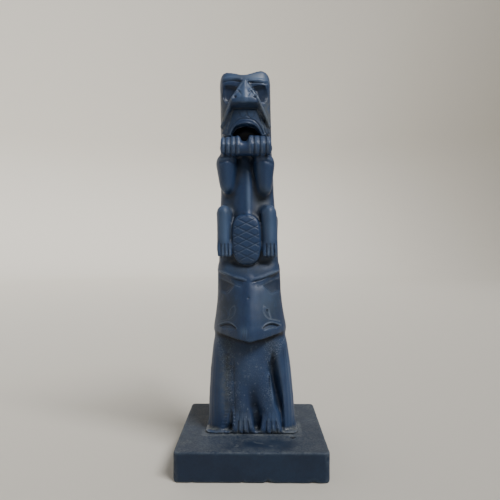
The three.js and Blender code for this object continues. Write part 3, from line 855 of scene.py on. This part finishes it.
slab_normals = read(slab, "normal")
slab_out = bulge(slab_points, edges_of(slab), slab_normals, 6)
outside = np.hypot(
    np.maximum(np.abs(x) - FOOT_HALF, 0),
    np.maximum(np.maximum(FOOT_FRONT - y, y - FOOT_BACK), 0),
)
mark_x, mark_y, mark_half, mark_deep = RUB_MARK
mark = np.exp(-(((x - mark_x) / mark_half) ** 4) - (((y - mark_y) / mark_deep) ** 4))
drifts = uneven(slab_points, DRIFT_SIZE)
dusty = on_top * np.clip(0.75 + 0.45 * drifts - 0.62 * mark, 0, 1)
glue = on_top * np.clip(1.3 - np.abs(outside - 0.8) / 1.6, 0, 1) * np.clip(0.75 + drifts, 0, 1)
keep_value(slab, "dusty", dusty)
keep_value(slab, "glue", glue)
keep_value(slab, "worn", past(slab_out, 0.03, 0.2))
keep_value(slab, "scratched", scratched)
keep_value(slab, "slit", np.clip(3 * slit, 0, 1) * on_top)
slab.data.shade_smooth()

# %% [markdown]
# The stone as a material
#
# Dark slate of this kind is a fine blue-black mudstone. Rubbed with a cloth it takes a soft satin
# shine, its arrises go pale, and its hollows hold grey dust. The colour is therefore mixed in
# layers: two blues in wide clouds, a fine grain, pale arrises, painted shade in deep places and
# painted highlights on lit ridges, then dust. Each layer's pattern is worked out from a size in
# millimetres.

# %% Helpers for materials


def linear(hex_colour):
    """An sRGB hex colour as the linear numbers that a shader needs."""
    channels = [int(hex_colour[i : i + 2], 16) / 255 for i in (1, 3, 5)]
    curve = [c / 12.92 if c <= 0.04045 else ((c + 0.055) / 1.055) ** 2.4 for c in channels]
    return (*curve, 1)


def per(size_mm):
    """The scale that makes a pattern's features about this many millimetres wide."""
    return 1 / (size_mm * MM)


def add(material, kind, inputs=None, **settings):
    """Adds a node, sets its own values, and fills its inputs with numbers or with links."""
    made = material.node_tree.nodes.new(kind)
    for name, value in settings.items():
        setattr(made, name, value)
    for name, value in (inputs or {}).items():
        if isinstance(value, bpy.types.NodeSocket):
            material.node_tree.links.new(value, made.inputs[name])
        else:
            made.inputs[name].default_value = value
    return made


def empty_material(name):
    material = bpy.data.materials.new(name)
    material.use_nodes = True
    material.node_tree.nodes.clear()
    return material


# %% Layers that both stones share
# The IOR is that of dense mudstone.
STONE_IOR = 1.5
STONE_SHINE = 0.4


def noise_of(material, place, size_mm, detail=3, rough=0.55, low=0.35, high=0.65):
    """A cloudy pattern spread out to run from 0 to 1."""
    cloud = add(material, "ShaderNodeTexNoise", {
        "Vector": place, "Scale": per(size_mm), "Detail": detail, "Roughness": rough})
    spread = add(material, "ShaderNodeMapRange", {
        "Value": cloud.outputs["Fac"], "From Min": low, "From Max": high})
    return spread.outputs["Result"]


def times(material, a, b, operation="MULTIPLY"):
    made = add(material, "ShaderNodeMath", operation=operation, use_clamp=True)
    for socket, value in zip(made.inputs, (a, b)):
        if isinstance(value, bpy.types.NodeSocket):
            material.node_tree.links.new(value, socket)
        else:
            socket.default_value = value
    return made.outputs[0]


def over(material, share, under, upper, blend="MIX"):
    """One colour laid over another by a share."""
    made = add(material, "ShaderNodeMixRGB", {
        "Fac": share, "Color1": under, "Color2": upper}, blend_type=blend)
    return made.outputs["Color"]


def kept(material, name):
    return add(material, "ShaderNodeAttribute", attribute_name=name).outputs["Fac"]


def layer(material, under, name, strength, colour, pattern=None, least=0):
    """Lays a colour where the kept value of that name is, broken up by a pattern."""
    share = kept(material, name)
    if pattern is not None:
        share = times(material, share, times(material, pattern, least, "ADD"))
    return over(material, times(material, share, strength), under, linear(colour))


def finished(material, colour, gloss, relief):
    """Joins the colour, the gloss and the relief to the surface of the stone."""
    shader = add(material, "ShaderNodeBsdfPrincipled", {
        "Base Color": colour, "Roughness": gloss.outputs["Result"], "IOR": STONE_IOR,
        "Specular IOR Level": STONE_SHINE, "Normal": relief.outputs["Normal"]})
    add(material, "ShaderNodeOutputMaterial", {"Surface": shader.outputs["BSDF"]})


# %% Rubbed slate of the carving
# Polished by handling: satin and blue-black.
SLATE_DEEP = "#1c3052"
SLATE_CLOUD = "#263b5c"
SLATE_DULL = "#28313a"
# Paler satin of handled places, also used for painted highlights.
SLATE_HANDLED_AND_HIGHLIT = "#526888"
SLATE_ARRIS = "#5f6f85"
# Colour of fresh chips, also used for painted highlights along lines and ridges.
PALE_CHIP_AND_HIGHLIGHT = "#6d7a8c"
SETTLED_DUST = "#54595c"
HOLLOW_DUST = "#39424b"
# The dark of painted shade, for the hollows, the deep places and the slit.
SHADE_DARK = "#050b17"

rubbed_slate = empty_material("hand_rubbed_slate")
place = add(rubbed_slate, "ShaderNodeTexCoord").outputs["Object"]
clouds = noise_of(rubbed_slate, place, 26)
grain = noise_of(rubbed_slate, place, 1.1, detail=2, low=0.25, high=0.75)
blotches = noise_of(rubbed_slate, place, 4.5, detail=4, rough=0.7, low=0.4, high=0.62)
dull_share = times(rubbed_slate, kept(rubbed_slate, "dull"), times(rubbed_slate, blotches, 0.5, "ADD"))
stone = over(rubbed_slate, clouds, linear(SLATE_DEEP), linear(SLATE_CLOUD))
stone = layer(rubbed_slate, stone, "crest", 0.16, SLATE_HANDLED_AND_HIGHLIT)
# Painted shade in the deep places between the forms.
stone = layer(rubbed_slate, stone, "deep", 0.7, SHADE_DARK)
stone = over(rubbed_slate, dull_share, stone, linear(SLATE_DULL))
stone = over(rubbed_slate, 0.22, stone, times(rubbed_slate, grain, 0.35, "ADD"), blend="MULTIPLY")
# Paler satin where handled, and painted highlights on the belly's ridge and the lit right side.
stone = layer(rubbed_slate, stone, "handled_and_highlit", 0.62, SLATE_HANDLED_AND_HIGHLIT)
stone = layer(rubbed_slate, stone, "worn", 0.55, SLATE_ARRIS, blotches, 0.35)
stone = layer(rubbed_slate, stone, "chipped", 0.5, PALE_CHIP_AND_HIGHLIGHT)
stone = layer(rubbed_slate, stone, "hollow", 0.4, HOLLOW_DUST, blotches, 0.15)
# Pale chalk lines and painted highlights along ridges and edges.
stone = layer(rubbed_slate, stone, "lined", 0.62, PALE_CHIP_AND_HIGHLIGHT, blotches, 0.3)

# %% Speckles, painted shade in hollows, and dust of the carving
dots = add(rubbed_slate, "ShaderNodeTexVoronoi", {"Vector": place, "Scale": per(1.05)})
dot = add(rubbed_slate, "ShaderNodeMapRange", {
    "Value": dots.outputs["Distance"], "From Min": 0.3, "From Max": 0.16})
dot_share = times(rubbed_slate, dot.outputs["Result"], kept(rubbed_slate, "speckled"))
dot_share = times(rubbed_slate, dot_share, blotches)
stone = over(rubbed_slate, dot_share, stone, linear(PALE_CHIP_AND_HIGHLIGHT))
frost = noise_of(rubbed_slate, place, 0.8, detail=4, rough=0.8, low=0.5, high=0.7)
frost_share = times(rubbed_slate, frost, times(rubbed_slate, kept(rubbed_slate, "speckled"), 0.6))
stone = over(rubbed_slate, frost_share, stone, linear(PALE_CHIP_AND_HIGHLIGHT))
# Painted shade in the dark hollows and fine cuts.
stone = layer(rubbed_slate, stone, "painted_shade", 0.85, SHADE_DARK)
stone = layer(rubbed_slate, stone, "settled", 0.8, SETTLED_DUST, blotches, 0.2)

# %% Gloss and relief of the carving
gloss = add(rubbed_slate, "ShaderNodeMapRange", {
    "Value": times(rubbed_slate, dull_share, times(rubbed_slate, grain, 0.25), "ADD"),
    "To Min": 0.38, "To Max": 0.72})
relief = add(rubbed_slate, "ShaderNodeBump", {
    "Height": grain, "Strength": 0.25, "Distance": 0.06 * MM})
finished(rubbed_slate, stone, gloss, relief)
carving.data.materials.append(rubbed_slate)

# %% Sawn slate of the slab
# Sawn and hardly rubbed: matt, a little greyer, with a coarse bloom of dust on its top.
SAWN_DEEP = "#122238"
SAWN_CLOUD = "#172941"
SAWN_ARRIS = "#4c5865"
TOP_DUST = "#64696c"
GLUE_LINE = "#6d7275"

sawn_slate = empty_material("sawn_slate")
place = add(sawn_slate, "ShaderNodeTexCoord").outputs["Object"]
clouds = noise_of(sawn_slate, place, 18)
grain = noise_of(sawn_slate, place, 0.9, detail=2, low=0.25, high=0.75)
blotches = noise_of(sawn_slate, place, 3.2, detail=5, rough=0.75, low=0.38, high=0.62)
stone = over(sawn_slate, clouds, linear(SAWN_DEEP), linear(SAWN_CLOUD))
stone = over(sawn_slate, 0.3, stone, times(sawn_slate, grain, 0.35, "ADD"), blend="MULTIPLY")
stone = layer(sawn_slate, stone, "worn", 0.6, SAWN_ARRIS, blotches, 0.2)

# %% Dust, glue and the slit on the slab
specks = noise_of(sawn_slate, place, 1.3, detail=6, rough=0.85, low=0.46, high=0.6)
grainy = times(sawn_slate, times(sawn_slate, specks, 0.75), times(sawn_slate, blotches, 0.35), "ADD")
dust_share = times(sawn_slate, kept(sawn_slate, "dusty"), grainy)
stone = over(sawn_slate, times(sawn_slate, dust_share, 0.75), stone, linear(TOP_DUST))
pale_share = times(sawn_slate, kept(sawn_slate, "glue"), times(sawn_slate, specks, 0.35, "ADD"))
pale_share = times(sawn_slate, pale_share, kept(sawn_slate, "scratched"), "ADD")
stone = over(sawn_slate, times(sawn_slate, pale_share, 0.6), stone, linear(GLUE_LINE))
# Painted shade fills the slit.
stone = over(sawn_slate, kept(sawn_slate, "slit"), stone, linear(SHADE_DARK))
gloss = add(sawn_slate, "ShaderNodeMapRange", {
    "Value": dust_share, "To Min": 0.62, "To Max": 0.9})
relief = add(sawn_slate, "ShaderNodeBump", {
    "Height": grain, "Strength": 0.35, "Distance": 0.08 * MM})
finished(sawn_slate, stone, gloss, relief)
slab.data.materials.append(sawn_slate)

# %% [markdown]
# The floor and the light
#
# The floor is a wide pale disc that sweeps up into a low wall far away, so that no horizon shows.
# The photograph is lit as by one window, high on the right and in front. A low sun with a wide
# disc gives the same soft-edged shadow, and lights the floor evenly.

# %% Floor with a sweep
PALE = "#cfcac0"
FLOOR_RADIUS = 1.8
SWEEP = 0.7
SWEEP_STEPS = 12
WALL = 1.6

bpy.ops.object.select_all(action="DESELECT")
bpy.ops.mesh.primitive_circle_add(vertices=96, radius=FLOOR_RADIUS, fill_type="NGON")
floor = bpy.context.object
floor.name = "floor"
bpy.ops.object.mode_set(mode="EDIT")
bpy.ops.mesh.select_mode(type="EDGE")
bpy.ops.mesh.select_all(action="SELECT")
bpy.ops.mesh.region_to_loop()
reached = (FLOOR_RADIUS, 0)
for i in range(1, SWEEP_STEPS + 2):
    angle = math.pi / 2 * min(i, SWEEP_STEPS) / SWEEP_STEPS
    wall = WALL if i > SWEEP_STEPS else 0
    aim = (FLOOR_RADIUS + SWEEP * math.sin(angle), SWEEP * (1 - math.cos(angle)) + wall)
    bpy.ops.mesh.extrude_region_move(TRANSFORM_OT_translate={"value": (0, 0, aim[1] - reached[1])})
    bpy.ops.transform.resize(value=(aim[0] / reached[0], aim[0] / reached[0], 1))
    reached = aim
bpy.ops.mesh.select_all(action="SELECT")
bpy.ops.mesh.normals_make_consistent(inside=True)
bpy.ops.object.mode_set(mode="OBJECT")
bpy.ops.object.shade_smooth()

# %% The floor's finish
pale_floor = empty_material("pale_floor")
shader = add(pale_floor, "ShaderNodeBsdfPrincipled", {
    "Base Color": linear(PALE), "Roughness": 0.85, "Specular IOR Level": 0.2})
add(pale_floor, "ShaderNodeOutputMaterial", {"Surface": shader.outputs["BSDF"]})
floor.data.materials.append(pale_floor)

# %% Sun and sky
SKY = "#dfe5ee"
SKY_STRENGTH = 0.42
SUN_FROM = Vector((0.5, -0.5, 0.72))
SUN_DISC = math.radians(28)
SUN_STRENGTH = 4.8

world = bpy.data.worlds.new("studio")
world.use_nodes = True
world.node_tree.nodes["Background"].inputs["Color"].default_value = linear(SKY)
world.node_tree.nodes["Background"].inputs["Strength"].default_value = SKY_STRENGTH
bpy.context.scene.world = world
sun = bpy.data.objects.new("window_light", bpy.data.lights.new("window_light", "SUN"))
bpy.context.scene.collection.objects.link(sun)
sun.data.angle = SUN_DISC
sun.data.energy = SUN_STRENGTH
sun.rotation_euler = SUN_FROM.to_track_quat("Z", "Y").to_euler()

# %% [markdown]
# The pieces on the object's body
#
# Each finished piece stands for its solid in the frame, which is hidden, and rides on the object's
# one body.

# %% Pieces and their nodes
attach(carving, "root")
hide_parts("carved_pole")
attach(slab, "root")
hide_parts("base")
